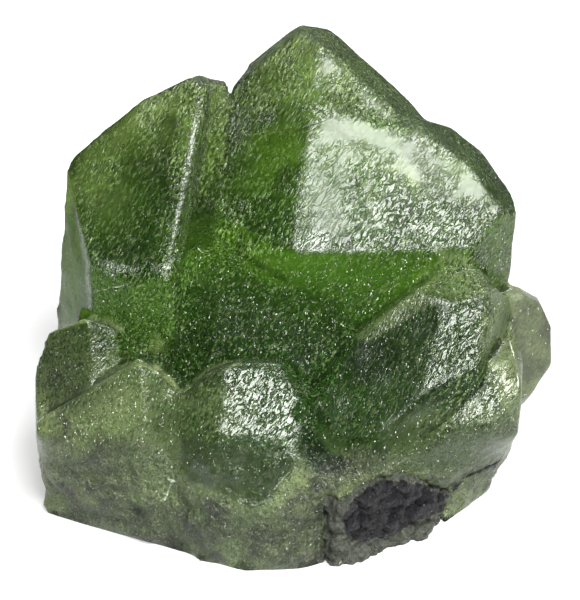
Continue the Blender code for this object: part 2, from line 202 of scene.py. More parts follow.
def near_line(x, y, places, wide):
    """1 on a line of the view frame and 0 from wide millimetres away."""
    return 1 - step_up(np.abs(outline_distance(x, y, [*places, *places[-2:0:-1]])), wide * 0.5, wide)


def area(x, y, outline, soft):
    """1 inside an outline of the view frame and 0 outside it, fading over soft millimetres."""
    return 1 - step_up(outline_distance(x, y, outline), -soft / 2, soft / 2)


def spot(x, y, across, up, wide, high, soft=0.5):
    """1 inside an oval of the view frame, with half sizes wide and high, and 0 outside it."""
    return 1 - step_up(np.hypot((x - across) / wide, (y - up) / high), 1 - soft, 1 + soft)


# Places on the cluster's front, in the view frame
PLATEAU = [
    (2.2, 15.4), (3.8, 15.6), (7.2, 14.4), (10.1, 12.9), (12.6, 11.7), (15.3, 10.4), (17.0, 8.8), (17.2, 7.3),
    (15.3, 7.9), (12.2, 8.3), (10.5, 8.8), (8.6, 10.8), (6.8, 11.7), (4.7, 11.0), (4.7, 5.4), (1.5, 5.4),
    (1.3, 8.8), (1.5, 12.9),
]
UPPER_PLATEAU = [(2.4, 19.8), (3.6, 19.6), (6.0, 17.0), (8.4, 15.0), (7.4, 14.8), (5.2, 16.4), (3.9, 16.9), (2.4, 18.2)]
BETWEEN = [(1.0, 17.2), (2.6, 18.0), (4.2, 19.0), (5.4, 17.6), (6.4, 15.8), (8.4, 15.0), (7.6, 14.2), (5.2, 15.0), (2.8, 15.6), (1.0, 15.2)]
SPECKLE = [
    (4.7, 11.0), (6.8, 11.7), (8.6, 10.8), (10.5, 8.8), (12.2, 8.3), (15.3, 7.9), (17.2, 7.3), (16.7, 5.6),
    (15.3, 4.4), (10.1, 4.6), (4.7, 5.0),
]
DIAGONAL = [(-4.4, -17.8), (0.2, -13.0), (2.0, -13.6), (1.6, -15.6), (-2.4, -19.6), (-4.0, -19.2)]
STRIP = [(-7.3, 17.4), (-7.8, 13.0), (-8.6, 9.0), (-9.8, 3.8)]
VALLEY_FRONT = [
    (-12.8, -4.6), (-11.2, -5.2), (-10.2, -6.3), (-9.4, -7.5), (-8.0, -6.2), (-6.2, -5.2), (-4.0, -4.2), (-8.0, -2.0),
]
STEP_LEFT = [(-6.8, 17.4), (-6.8, 13.4), (0.6, 14.8), (1.0, 17.2)]
BAND = [
    (-3.4, 4.0), (15.0, 4.0), (13.0, 2.9), (9.0, -0.2), (5.2, -2.9), (3.2, -2.2), (1.2, -1.0), (-0.8, 0.9),
    (-2.6, 1.8),
]
BAND_BRIGHT = [(0.4, 4.0), (14.6, 4.0), (13.0, 2.9), (9.0, -0.2), (5.2, -2.9), (3.4, -1.6), (1.6, 0.8)]
MIDDLE_FRONT = [
    (-8.6, 3.4), (-6.0, 2.4), (-0.6, 0.8), (3.4, -1.8), (5.0, -3.0), (1.4, -6.4), (-1.0, -4.6), (-5.0, -4.4),
    (-7.6, -6.2), (-8.6, -3.0),
]
DARK_FRONT = [(12.4, 2.4), (5.2, -3.0), (1.4, -8.6), (1.8, -12.6), (9.6, -12.4), (12.0, -7.4), (11.4, -6.0), (13.0, 0.0)]
NOOK = [(0.6, -10.6), (1.6, -10.4), (3.2, -12.6), (5.4, -13.6), (3.8, -15.0), (2.0, -14.8), (0.6, -13.2)]
DARK_STRIPE = [(-0.3, 17.5), (1.4, 17.0), (0.6, 10.0), (-0.2, 5.2), (-4.5, 5.6), (-3.5, 9.0), (-2.6, 13.0)]
LEFT_SIDE = [(-20.8, 10.0), (-18.5, 10.0), (-17.3, 3.0), (-17.0, -2.0), (-21.0, -2.6)]
LEDGE = [(-8.8, 7.4), (-6.8, 7.4), (-2.8, 5.0), (1.4, 2.8), (5.8, -1.6), (4.4, -4.2), (-0.8, -0.6), (-6.6, 0.8), (-9.2, 1.6)]
VALLEY_LEFT = [(-11.9, -7.2), (-10.4, -6.6), (-9.0, -7.2), (-8.2, -9.0), (-7.8, -18.5), (-11.9, -18.5)]
SEAMS = [
    ([(0.6, -9.4), (4.8, -3.0), (8.6, 0.4), (12.6, 3.2)], 0.9),
    ([(-9.6, -8.2), (-7.4, -5.8), (-5.0, -4.8), (-1.0, -5.0), (1.0, -8.0)], 0.7),
    ([(-8.8, 4.0), (-9.6, 0.0), (-9.4, -3.6)], 0.6),
    ([(-17.4, -1.2), (-14.0, -2.4), (-11.6, -5.2), (-9.0, -8.2)], 0.5),
]
RIMS = [
    ([(-20.2, -8.9), (-18.3, -7.9), (-16.5, -6.9), (-14.9, -5.9), (-13.6, -5.4), (-12.6, -5.3), (-11.5, -5.7)], 0.35),
    ([(-11.5, -5.7), (-10.4, -6.6), (-9.6, -7.7)], 0.35),
    ([(-9.3, -8.0), (-7.6, -6.3), (-6.2, -5.5), (-4.6, -5.2)], 0.3),
    ([(-20.3, -2.6), (-18.6, -2.0), (-16.8, -1.5), (-15.4, -1.9), (-14.4, -2.4)], 0.3),
]
FRONT_LEFT = [(-21.0, -9.4), (-18.5, -8.2), (-14.5, -5.8), (-12.8, -5.2), (-11.0, -5.9), (-8.8, -8.4), (-8.8, -13.0), (-21.0, -13.0)]
FAR_LEFT = [(-17.3, -1.5), (-14.1, -2.6), (-11.6, -5.4), (-13.5, -5.5), (-17.2, -7.4)]
LEFT_OF_FRONT = [(-9.2, -8.0), (-7.3, -5.9), (-5.9, -5.3), (-6.0, -8.4), (-6.8, -12.8), (-9.2, -12.8)]
UNDER_RIGHT = [(0.4, -8.4), (2.2, -9.0), (4.2, -11.4), (7.6, -11.6), (11.4, -9.4), (12.6, -11.6), (7.0, -14.6), (1.6, -14.6)]
STRIP_LEFT = [(-9.2, 17.8), (-7.85, 17.8), (-10.6, 3.0), (-11.8, 3.0)]
VALLEY = [(-7.4, 17.9), (-5.2, 17.9), (-5.9, 11.0), (-6.6, 4.4), (-9.4, 3.8)]
FRONT_PATCH = [(-5.9, -6.6), (-4.8, -5.2), (-1.2, -5.6), (1.0, -8.4), (1.4, -11.5), (1.0, -12.6), (-6.3, -12.6)]
RIGHT_PATCH = [(13.0, -0.4), (15.9, 0.2), (15.7, -4.6), (11.2, -7.0), (12.0, -3.6)]
LOW_RIGHT_PATCH = [(15.9, -5.6), (18.3, -5.0), (18.8, -7.0), (16.2, -9.9), (13.6, -10.4), (15.0, -8.6)]
GREY_EDGE = [(13.4, 3.9), (10.8, 1.8), (7.4, -1.0), (5.0, -3.1), (6.2, -3.6), (9.4, -1.6), (12.6, 0.4)]
LOW_RIGHT = [
    (1.6, -11.5), (6.0, -11.0), (12.0, -10.0), (16.5, -10.5), (18.8, -9.0), (18.4, -12.5), (15.5, -13.8), (10.0, -14.6),
    (6.5, -14.6), (3.0, -14.0),
]
FRONT_BODY = [
    (-9.1, -11.0), (-6.1, -12.0), (0.6, -12.4), (0.0, -14.4), (-3.1, -17.6), (-6.1, -16.3), (-8.6, -15.1), (-9.7, -13.0),
]
FRONT_LEFT_SIDE = [(-12.2, -5.8), (-11.0, -6.2), (-9.9, -7.4), (-9.2, -8.8), (-9.0, -12.0), (-12.2, -12.0)]
GREY_TOP = [(12.6, 4.4), (14.6, 4.2), (16.4, 1.0), (15.6, 0.2), (13.2, -0.4), (9.8, 0.8)]
FAR_RIGHT = [(17.6, 1.4), (22.0, 1.4), (22.0, -8.4), (19.0, -8.4), (18.4, -3.0)]
FROST_LEFT = [
    (-22.0, -7.6), (-19.0, -8.2), (-14.0, -10.0), (-9.0, -11.6), (-6.4, -12.6), (-6.0, -15.0), (-3.4, -17.6),
    (0.6, -13.8), (2.4, -12.6), (5.0, -14.0), (8.6, -13.6), (12.0, -13.4), (15.0, -13.0), (19.5, -10.6),
    (22.0, -11.0), (18.0, -24.0), (-22.0, -24.0),
]


# Thin pale ridges along edges and rims: partly frosted chips, partly painted highlights where edges catch the light.
PALE_RIDGES = [
    ([(-3.25, -17.75), (-2.2, -16.4), (-1.0, -15.0), (0.25, -13.6), (1.4, -12.3)], 0.07, 0.08),
    ([(-17.2, 0.5), (-16.2, 0.83), (-14.7, 1.08), (-13.5, 1.33), (-13.0, 1.75)], 0.08, 0.10),
    ([(-10.7, -14.8), (-10.2, -15.1), (-9.5, -15.2)], 0.22, 0.12),
    ([(-10.2, -15.1), (-10.5, -16.0), (-10.9, -16.9)], 0.20, 0.12),
    ([(3.2, -1.5), (4.2, -2.2), (5.2, -2.5), (5.8, -1.8)], 0.07, 0.07),
    ([(-8.3, 4.6), (-7.7, 4.0), (-7.0, 3.75)], 0.09, 0.08),
    ([(16.3, 0.83), (17.2, 0.83)], 0.06, 0.06),
    ([(17.8, -2.9), (18.2, -4.2), (18.5, -5.3)], 0.14, 0.12),
    ([(18.5, -5.9), (18.7, -6.7), (18.6, -7.9)], 0.13, 0.12),
    ([(-20.2, -8.9), (-18.3, -7.9), (-16.5, -6.9), (-14.9, -5.9), (-13.6, -5.4)], 0.13, 0.05),
    ([(-13.8, -5.4), (-12.6, -5.2), (-11.4, -5.6), (-10.3, -6.5), (-9.5, -7.6)], 0.11, 0.05),
    ([(-9.1, -7.8), (-7.6, -6.3), (-6.2, -5.5), (-4.6, -5.1)], 0.08, 0.04),
    ([(-12.75, -5.8), (-12.7, -7.5), (-12.8, -9.2)], 0.10, 0.06),
    ([(-12.4, -7.2), (-12.45, -8.6), (-12.3, -9.8)], 0.07, 0.05),
    ([(3.1, -23.2), (3.5, -22.4), (4.0, -21.7)], 0.10, 0.10),
    ([(-5.0, -15.6), (-4.2, -16.0), (-3.5, -16.5)], 0.10, 0.07),
    ([(-9.0, -14.0), (-8.0, -14.2), (-7.1, -14.1)], 0.09, 0.06),
]
DARK_RIDGES = [
    ([(13.1, -16.2), (13.6, -15.5), (14.3, -14.9)], 0.20, 0.14),
    ([(14.1, -14.9), (15.1, -14.4), (16.0, -14.0), (16.7, -13.7), (17.3, -13.3)], 0.34, 0.24),
    ([(9.7, -15.2), (11.2, -15.5), (13.2, -15.9)], 0.16, 0.12),
    ([(1.6, -13.0), (2.4, -13.7), (2.9, -14.8)], 0.16, 0.06),
    ([(12.6, -16.2), (13.2, -16.6)], 0.14, 0.10),
]
MATRIX_SEEN = [
    (4.1, -18.2), (4.6, -17.1), (5.7, -16.0), (7.2, -15.0), (8.7, -15.2), (9.7, -15.2), (11.0, -15.6), (12.6, -16.0),
    (12.5, -17.6), (11.5, -17.9), (10.3, -18.5), (8.7, -19.2), (7.1, -19.8), (5.6, -20.2), (4.3, -19.5),
]


# Materials
class Shader:
    """A node material, built node by node."""

    def __init__(self, name):
        self.material = bpy.data.materials.new(name)
        self.material.use_nodes = True
        self.tree = self.material.node_tree
        self.main = self.tree.nodes["Principled BSDF"]
        self.output = self.tree.nodes["Material Output"]
        self.place = self.add("ShaderNodeTexCoord").outputs["Object"]

    def add(self, kind, **settings):
        node = self.tree.nodes.new(kind)
        for key, value in settings.items():
            setattr(node, key, value)
        return node

    def plug(self, socket, value):
        if isinstance(value, bpy.types.NodeSocket):
            self.tree.links.new(value, socket)
        else:
            socket.default_value = value

    def noise(self, per_mm, detail=2.0, rough=0.5, distortion=0.0, place=None, output="Fac"):
        node = self.add("ShaderNodeTexNoise")
        self.plug(node.inputs["Vector"], place or self.place)
        node.inputs["Scale"].default_value = per_mm * 1000
        node.inputs["Detail"].default_value = detail
        node.inputs["Roughness"].default_value = rough
        node.inputs["Distortion"].default_value = distortion
        return node.outputs[output]

    def cells(self, per_mm, feature="F1", place=None):
        """The distance and the random colour of irregular cells."""
        node = self.add("ShaderNodeTexVoronoi", feature=feature)
        self.plug(node.inputs["Vector"], place or self.place)
        node.inputs["Scale"].default_value = per_mm * 1000
        return node.outputs["Distance"], node.outputs.get("Color")

    def vector(self, operation, a, b=(0, 0, 0), output="Vector"):
        node = self.add("ShaderNodeVectorMath", operation=operation)
        self.plug(node.inputs[0], a)
        self.plug(node.inputs[1], b)
        return node.outputs[output]

    def axes(self, value):
        node = self.add("ShaderNodeSeparateXYZ")
        self.plug(node.inputs[0], value)
        return node.outputs

    def wandering(self, per_mm, sway_mm, stretch=(1, 1, 1)):
        """Places moved to and fro by a noise, and drawn out along the axes."""
        sway = self.vector("SUBTRACT", self.noise(per_mm, output="Color"), (0.5, 0.5, 0.5))
        moved = self.vector("ADD", self.place, self.vector("MULTIPLY", sway, (sway_mm * MM,) * 3))
        return self.vector("MULTIPLY", moved, stretch)

    def drawn(self, along, times):
        """Places drawn out along a direction."""
        along = Vector(along).normalized()
        far = self.vector("DOT_PRODUCT", self.place, along, output="Value")
        node = self.add("ShaderNodeVectorMath", operation="SCALE")
        node.inputs[0].default_value = along * (1 - 1 / times)
        self.plug(node.inputs["Scale"], far)
        return self.vector("SUBTRACT", self.place, node.outputs["Vector"])

    def ramp(self, value, low, high, start=0.0, end=1.0):
        node = self.add("ShaderNodeMapRange", interpolation_type="SMOOTHSTEP")
        self.plug(node.inputs["Value"], value)
        for key, number in (("From Min", low), ("From Max", high)):
            node.inputs[key].default_value = number
        self.plug(node.inputs["To Min"], start)
        self.plug(node.inputs["To Max"], end)
        return node.outputs["Result"]

    def math(self, operation, a, b=0.0, c=0.0):
        node = self.add("ShaderNodeMath", operation=operation)
        for socket, value in zip(node.inputs, (a, b, c)):
            self.plug(socket, value)
        return node.outputs[0]

    def mix(self, factor, a, b, kind="RGBA"):
        """A colour, or with the kind VECTOR a direction, which may be less than zero."""
        node = self.add("ShaderNodeMix", data_type=kind)
        self.plug(node.inputs["Factor"], factor)
        self.plug(node.inputs["A"], a)
        self.plug(node.inputs["B"], b)
        return node.outputs["Result"]

    def attribute(self, name):
        return self.add("ShaderNodeAttribute", attribute_name=name).outputs["Fac"]

    def bump(self, height, depth_mm, before=None, strength=1.0):
        node = self.add("ShaderNodeBump")
        self.plug(node.inputs["Height"], height)
        self.plug(node.inputs["Strength"], strength)
        node.inputs["Distance"].default_value = depth_mm * MM
        if before is not None:
            self.plug(node.inputs["Normal"], before)
        return node.outputs["Normal"]

    def set(self, **values):
        for key, value in values.items():
            self.plug(self.main.inputs[key.replace("_", " ")], value)


def terraces(s, per_mm, steps, place, riser=(0.25, 0.75)):
    """A height of flat treads with steep, winding steps between them, as growth and etching leave."""
    level = s.math("MULTIPLY", s.noise(per_mm, detail=2.5, rough=0.55, distortion=0.9, place=place), steps)
    whole = s.math("FLOOR", level)
    rise = s.ramp(s.math("SUBTRACT", level, whole), *riser)
    return s.math("DIVIDE", s.math("ADD", whole, rise), steps)


def laid_ahead(s, normal, share):
    """A normal laid forward in creases, where a real break hides its steep side."""
    shape = s.add("ShaderNodeNewGeometry").outputs["Normal"]
    on_back = s.ramp(s.axes(shape)[1], 0.5, 0.55)
    ahead = s.mix(on_back, FOLD, (FOLD.x, -FOLD.y, FOLD.z), "VECTOR")
    fold = s.math("MULTIPLY", s.attribute("fold"), share)
    aim = s.math("MULTIPLY", s.attribute("aim"), share)
    aimed = s.mix(aim, normal or shape, GLINT, "VECTOR")
    return s.vector("NORMALIZE", s.mix(fold, aimed, ahead, "VECTOR"))


def facets(s, normal):
    """A normal that small growth facets, parallel to the cluster's bright faces, break up."""
    place = s.wandering(1.3, 0.5, (1.0, 0.5, 0.5))
    distance, random = s.cells(7.0, place=place)
    picks = s.axes(random)
    size = s.math("MULTIPLY_ADD", picks[1], 0.20, 0.12)
    inside = s.ramp(s.math("SUBTRACT", distance, size), 0.0, 0.10, 1.0, 0.0)
    picked = s.math("LESS_THAN", picks[0], s.attribute("glints"))
    shape = s.add("ShaderNodeNewGeometry").outputs["Normal"]
    on_back = s.ramp(s.axes(shape)[1], 0.5, 0.55)
    main = s.mix(on_back, GLINT, BACK_GLINT, "VECTOR")
    tilt = s.vector("MULTIPLY", s.vector("SUBTRACT", random, (0.5, 0.5, 0.5)), (0.40, 0.40, 0.40))
    facet = s.vector("NORMALIZE", s.vector("ADD", main, tilt))
    facing = s.ramp(s.vector("DOT_PRODUCT", shape, facet, output="Value"), 0.2, 0.4)
    share = s.math("MULTIPLY", s.math("MULTIPLY", inside, picked), facing)
    return s.vector("NORMALIZE", s.mix(share, laid_ahead(s, normal, 0.5), facet, "VECTOR"))


def peridot_material():
    s = Shader("peridot")
    etch = s.attribute("etch")
    drawn = s.drawn((0.5, 0.6, 0.55), 2.5)
    strokes = s.noise(5.4, detail=1.5, rough=0.6, distortion=0.8, place=drawn)
    fine = s.bump(strokes, 0.13, before=laid_ahead(s, None, 1.0), strength=etch)
    steps = s.bump(terraces(s, 2.6, 2.6, drawn), 0.14, before=fine, strength=s.math("MULTIPLY", etch, etch))
    coarse = s.bump(terraces(s, 3.0, 3.0, s.drawn((0.6, 0.6, 0.53), 2.6)), 0.19, before=steps, strength=s.attribute("coarse"))
    broken = s.bump(s.noise(1.6, detail=4.0, rough=0.65), 0.60, before=coarse, strength=s.attribute("rock"))

    mottle = s.ramp(s.noise(0.45, detail=3.0, rough=0.6), 0.3, 0.7, 0.45, 1.0)
    frost = s.math("MULTIPLY", s.attribute("frost"), mottle)
    speck = s.ramp(s.noise(1.3, detail=4.0, rough=0.8), 0.34, 0.66)
    frosted = s.mix(speck, (0.006, 0.007, 0.005, 1), (0.050, 0.052, 0.041, 1))
    # The shade map darkens the clear body colour towards a deep green: partly the crystal's own tone, partly painted
    # shade.
    clear = s.mix(s.attribute("shade"), (0.80, 1.0, 0.42, 1), (0.10, 0.15, 0.04, 1))
    # Painted glow: where light shining through the crystal is painted in, the body colour is pushed towards a bright
    # yellow-green and made less clear.
    lit = s.attribute("lit")
    body = s.mix(lit, s.mix(frost, clear, frosted), (0.62, 0.85, 0.16, 1))
    # In frosted parts the shade map also darkens the body towards near black: painted shade, with some of the crystal's
    # own tone.
    shaded = s.math("MULTIPLY", frost, s.attribute("shade"))
    body = s.mix(s.math("MINIMUM", s.math("MULTIPLY", shaded, 1.6), 0.85), body, (0.010, 0.014, 0.006, 1))
    milk = s.attribute("milk")
    body = s.mix(milk, body, (0.150, 0.165, 0.120, 1))
    # Dark strokes that follow the etch pattern are painted shade in the etch pits. Pale strokes are pale frost along
    # the etch lines, partly a painted highlight.
    dark = s.math("MULTIPLY", s.ramp(strokes, 0.50, 0.40), etch)
    pale = s.math("MULTIPLY", s.ramp(strokes, 0.55, 0.64), etch)
    body = s.mix(s.math("MULTIPLY", dark, 0.92), body, (0.020, 0.034, 0.006, 1))
    body = s.mix(s.math("MULTIPLY", pale, 0.7), body, s.mix(frost, (0.47, 0.64, 0.28, 1), (0.175, 0.190, 0.145, 1)))

    rough = s.ramp(s.noise(2.2), 0.3, 0.7, 0.27, 0.31)
    rough = s.math("MULTIPLY_ADD", s.attribute("sheen"), 0.17, rough)
    dense = s.math("MULTIPLY", frost, s.math("MULTIPLY_ADD", s.attribute("rock"), 0.25, 0.6))
    opaque = s.math("MAXIMUM", s.math("MAXIMUM", dense, s.math("MULTIPLY", milk, 0.75)), s.math("MULTIPLY", pale, 0.25))
    s.set(
        Base_Color=body,
        Roughness=rough,
        Specular_Tint=(0.75, 0.78, 0.72, 1),
        IOR=1.67,
        Transmission_Weight=s.math("SUBTRACT", 1.0, s.math("MAXIMUM", opaque, s.math("MULTIPLY", lit, 0.4))),
        Normal=facets(s, broken),
    )
    volume = s.add("ShaderNodeVolumeAbsorption")
    volume.inputs["Color"].default_value = (0.53, 0.73, 0.02, 1)
    volume.inputs["Density"].default_value = 165.0
    s.plug(s.output.inputs["Volume"], volume.outputs["Volume"])
    return s.material


def edge_material():
    """The frosted, pale green substance of thin lines along edges: partly chips and worn edges, partly a painted
    highlight where edges catch the light.
    """
    s = Shader("pale_edge")
    s.set(
        Base_Color=s.mix(s.ramp(s.noise(3.0, detail=3.0), 0.35, 0.65), (0.16, 0.20, 0.12, 1), (0.60, 0.66, 0.50, 1)),
        Roughness=0.35,
        IOR=1.67,
        Normal=s.bump(s.noise(4.0, detail=3.0), 0.12),
    )
    return s.material


def matrix_material():
    s = Shader("black_matrix")
    grain = s.noise(2.2, detail=5.0, rough=0.75)
    pale, _ = s.cells(1.7)
    some = s.math("MULTIPLY", s.ramp(pale, 0.20, 0.08), s.ramp(s.noise(0.5, detail=1.0), 0.48, 0.58))
    dark = s.mix(s.ramp(grain, 0.45, 0.75), (0.006, 0.006, 0.008, 1), (0.055, 0.050, 0.055, 1))
    crust = s.mix(s.ramp(grain, 0.35, 0.68), (0.040, 0.046, 0.032, 1), (0.170, 0.185, 0.140, 1))
    ragged = s.math("ADD", s.attribute("crust"), s.math("MULTIPLY", s.noise(1.3, detail=3.0), 0.8))
    covered = s.mix(s.ramp(ragged, 0.62, 0.74), dark, crust)
    s.set(
        Base_Color=s.mix(some, covered, (0.20, 0.18, 0.13, 1)),
        Roughness=s.ramp(s.noise(3.0), 0.4, 0.6, 0.25, 0.6),
        Normal=s.bump(s.noise(3.2, detail=4.0, rough=0.75), 0.8),
    )
    return s.material


def floor_material():
    """A painted pool of light: glowing white round the cluster, which also lightens the cluster's cast shadow, and grey
    further out.
    """
    s = Shader("pale_floor")
    away = s.vector("LENGTH", s.vector("MULTIPLY", s.place, (1.6, 1.0, 1.0)), output="Value")
    near = s.ramp(away, 0.055, 0.10, 1.0, 0.0)
    s.set(
        Base_Color=s.mix(near, (0.10, 0.10, 0.10, 1), (0.46, 0.46, 0.46, 1)),
        Roughness=0.7,
        Emission_Color=(1, 1, 1, 1),
        Emission_Strength=s.math("MULTIPLY", near, 0.46),
    )
    return s.material


# Pieces
def crystal_maps(x, y, mm, shown, crease):
    """How strongly the surface is etched and how frosted it is, its tone with painted shade and a painted glow, at
    places of the view.
    """
    sway = noise_at(mm, 0.8, 11.0) * 0.7
    xs = x + sway
    ys = y + noise_at(mm, 0.8, 23.0) * 0.7
    maps = {
        "etch": np.full(len(x), 0.9),
        "coarse": np.zeros(len(x)),
        "rock": (1 - shown) * 0.25,
        "glints": np.full(len(x), 0.34),
        "sheen": np.zeros(len(x)),
        "lit": np.zeros(len(x)),
        "milk": np.zeros(len(x)),
        "aim": np.zeros(len(x)),
    }

    def lay(mask, **values):
        mask = mask * shown
        for name, value in values.items():
            maps[name] = maps[name] * (1 - mask) + value * mask

    right = step_up(xs, -0.5, 1.0) * step_up(ys, 4.0, 4.6)
    lay(1 - step_up(y, -2.0, 3.0), etch=0.8, glints=0.34)
    lay(right, etch=0.6, coarse=1.1, glints=0.25, sheen=0.15)
    cracked = step_up(noise_at(mm, 0.4, 41.0), 0.0, 0.35)
    lay(area(xs, ys, PLATEAU, 1.6), etch=0.08, coarse=0.06, glints=0.0, sheen=0.6)
    lay(area(xs, ys, PLATEAU, 1.6) * cracked, etch=0.35, coarse=0.65, sheen=0.4)
    lay(spot(xs, ys, 3.2, 8.4, 2.4, 4.0) * (0.4 + 0.6 * cracked), etch=0.25, coarse=0.8, sheen=0.7)
    lay(area(xs, ys, SPECKLE, 2.4), etch=0.45, coarse=1.2, glints=0.1, sheen=0.15)
    lay(area(xs, ys, UPPER_PLATEAU, 0.6), etch=0.2, coarse=0.3, glints=0.0, sheen=0.7, aim=0.8)
    lay(area(xs, ys, BETWEEN, 0.8), etch=1.0, coarse=2.4, glints=0.5, sheen=0.0)
    lay(spot(xs, ys, 2.2, 4.9, 1.2, 0.8), etch=0.2, coarse=0.6, glints=0.6, sheen=0.0)
    lay(spot(xs, ys, 7.6, 4.8, 4.4, 0.4), etch=0.6, coarse=1.6, glints=0.6, sheen=0.0)
    lay(area(xs, ys, DARK_STRIPE, 1.5), etch=0.55, glints=0.2)
    lay(spot(xs, ys, -12.8, 9.0, 3.2, 6.0, 0.8), etch=0.68, glints=0.24)
    # A painted glow of light shining through the crystal here.
    lay(spot(xs, ys, -16.2, 8.8, 2.2, 2.4, 1.2), etch=0.35, glints=0.1, lit=0.08)
    lay(spot(xs, ys, -9.8, 14.6, 1.2, 2.4, 1.0), etch=0.35, glints=0.1)
    lay(area(xs, ys, MIDDLE_FRONT, 1.5), etch=0.55, glints=0.45)
    lay(area(xs, ys, DARK_FRONT, 1.5), etch=0.35, glints=0.34)
    lay(area(x, y, STRIP_LEFT, 0.4), etch=1.2, glints=0.5)
    lay(near_line(x, y, STRIP, 0.6), etch=0.9, coarse=3.0, glints=0.7, sheen=0.0)
    lay(area(x, y, VALLEY, 0.5), etch=0.9, glints=0.1)
    lay(area(xs, ys, BAND, 0.8), etch=0.35, glints=0.5)
    lay(spot(xs, ys, -14.9, 2.6, 1.9, 0.6), etch=0.5, coarse=2.2, glints=0.8, aim=0.6)
    lay(area(xs, ys, FAR_LEFT, 0.8), etch=0.65, coarse=0.5, glints=0.55)
    lay(area(xs, ys, FRONT_LEFT, 1.2), etch=0.6, coarse=0.5, glints=0.6)
    # Small spots with a painted glow of light shining through the crystal.
    lay(spot(xs, ys, -11.4, -3.8, 0.7, 0.7), etch=0.6, glints=0.5, lit=0.4)
    lay(spot(xs, ys, 9.8, 10.2, 0.5, 1.1), lit=0.3)
    lay(spot(xs, ys, 8.6, 11.2, 0.9, 0.4), lit=0.25)
    # The left side gets a faint painted glow of light shining through.
    lay(area(x, y, LEFT_SIDE, 0.6), etch=0.1, glints=0.04, lit=0.12)
    lay(area(x, y, FRONT_PATCH, 0.3), etch=0.25, coarse=1.7, glints=0.5)
    lay(area(x, y, RIGHT_PATCH, 0.4), etch=0.4, coarse=2.4, glints=0.4, sheen=0.1)
    lay(area(xs, ys, LOW_RIGHT_PATCH, 0.6), etch=0.35, coarse=1.7, glints=0.3)
    lay(area(xs, ys, GREY_TOP, 1.0), etch=0.8, coarse=0.2, glints=0.3, milk=0.12)
    lay(area(x, y, FAR_RIGHT, 0.6), etch=0.3, glints=0.1, milk=0.78)
    lay(1 - step_up(ys, -14.0, -11.5), etch=0.65, rock=1.0, glints=0.30)
    lay(area(xs, ys, FRONT_BODY, 0.8), etch=0.45, rock=0.3, glints=0.4, milk=0.08)
    # Pale milky lines along the crystals' rims: partly frost, partly a painted highlight on the rims.
    for places, wide in RIMS:
        lay(near_line(x, y, places, wide), milk=0.45, etch=0.5)
    lay(area(x, y, GREY_EDGE, 0.5), etch=0.7, glints=0.3, milk=0.15)

    calm = 0.65 + 0.5 * step_up(noise_at(mm, 0.24, 31.0), -0.25, 0.25)
    high = step_up(ys, 1.0, 4.0) * shown * (1 - area(x, y, PLATEAU, 1.0))
    maps["etch"] = maps["etch"] * (1 - high + high * calm)
    maps["glints"] = maps["glints"] * (1 - high + high * calm)

    frost = area(xs, ys, FROST_LEFT, 5.0) * shown
    for across, up, wide, tall, share in (
        (-19.0, -8.6, 3.6, 4.0, 0.8),
        (-15.4, -10.4, 4.0, 4.6, 0.6),
        (-11.0, -9.4, 2.6, 4.4, 0.15),
        (-19.5, -4.5, 2.6, 3.0, 0.2),
        (20.0, -3.4, 3.4, 5.4, 1.0),
        (18.4, -5.0, 1.6, 5.0, 0.6),
        (14.0, -12.0, 6.0, 2.6, 0.4),
        (-8.5, -9.5, 3.4, 4.2, 0.25),
    ):
        frost = np.maximum(frost, spot(xs, ys, across, up, wide, tall) * share * shown)
    frost = frost * (1 - 0.5 * area(xs, ys, FRONT_BODY, 0.8) * shown)
    frost = frost * (1 - area(x, y, VALLEY_FRONT, 0.4) * shown)
    frost = frost * (1 - 0.45 * area(xs, ys, LOW_RIGHT, 1.5) * shown)
    frost = frost * (1 - 0.4 * spot(xs, ys, -8.8, -12.0, 4.4, 3.6, 1.0))
    maps["milk"] = np.maximum(maps["milk"], 0.7 * (1 - shown) * step_up(x, 17.5, 18.5))
    behind = (1 - shown) * (1 - step_up(mm[:, 2] + noise_at(mm, 0.25, 5.0) * 4, 4.0, 11.0))
    frost = np.maximum(frost, behind * 0.7)

    # The shade map darkens the body. Partly it is the crystal's own tone: noisy blotches and darker faces. Partly it is
    # painted shade: in creases, the nook, the valley and the gaps between crystals, towards the bottom, and on thin
    # parts that let much light through.
    shade = np.zeros(len(x))
    for across, up, wide, tall, share in (
        (-6.6, 0.2, 1.3, 3.6, 0.5),
        (2.0, -13.4, 1.2, 2.2, 0.8),
        (3.6, -14.4, 1.8, 1.4, 0.6),
        (6.6, -5.0, 2.8, 2.4, 1.0),
        (14.0, -12.6, 5.6, 2.8, 0.6),
        (-18.6, -5.4, 3.4, 3.6, 0.5),
        (6.0, -13.4, 4.0, 1.6, 0.6),
        (-14.0, -14.0, 6.0, 2.4, 0.45),
        (-12.0, -19.0, 12.0, 3.0, 0.5),
        (0.0, -20.0, 6.0, 3.0, 0.5),
        (-7.0, -5.6, 3.0, 1.6, 0.6),
        (-8.8, -11.6, 4.0, 3.6, 0.35),
        (-3.6, 17.4, 3.6, 4.4, 0.8),
        (4.6, 16.4, 3.4, 2.0, 0.7),
        (-13.2, 8.6, 3.6, 6.2, 0.6),
        (-14.8, 12.6, 5.0, 3.4, 0.55),
        (-9.6, 11.0, 2.2, 7.0, 0.9),
        (-5.4, 14.0, 1.8, 4.4, 0.9),
    ):
        shade = np.maximum(shade, spot(xs, ys, across, up, wide, tall, 0.6) * share * shown)
    blotch = step_up(noise_at(mm, 0.42, 61.0), 0.0, 0.3) * 0.55
    shade = np.maximum(shade, blotch * high * (1 - area(xs, ys, BAND, 1.0)))
    shade = shade * (1 - 0.9 * spot(xs, ys, -16.2, 8.8, 2.2, 2.4, 1.2))
    shade = np.maximum(shade, area(xs, ys, MIDDLE_FRONT, 2.5) * 0.55 * shown)
    shade = np.maximum(shade, area(xs, ys, DARK_FRONT, 2.5) * 0.55 * shown)
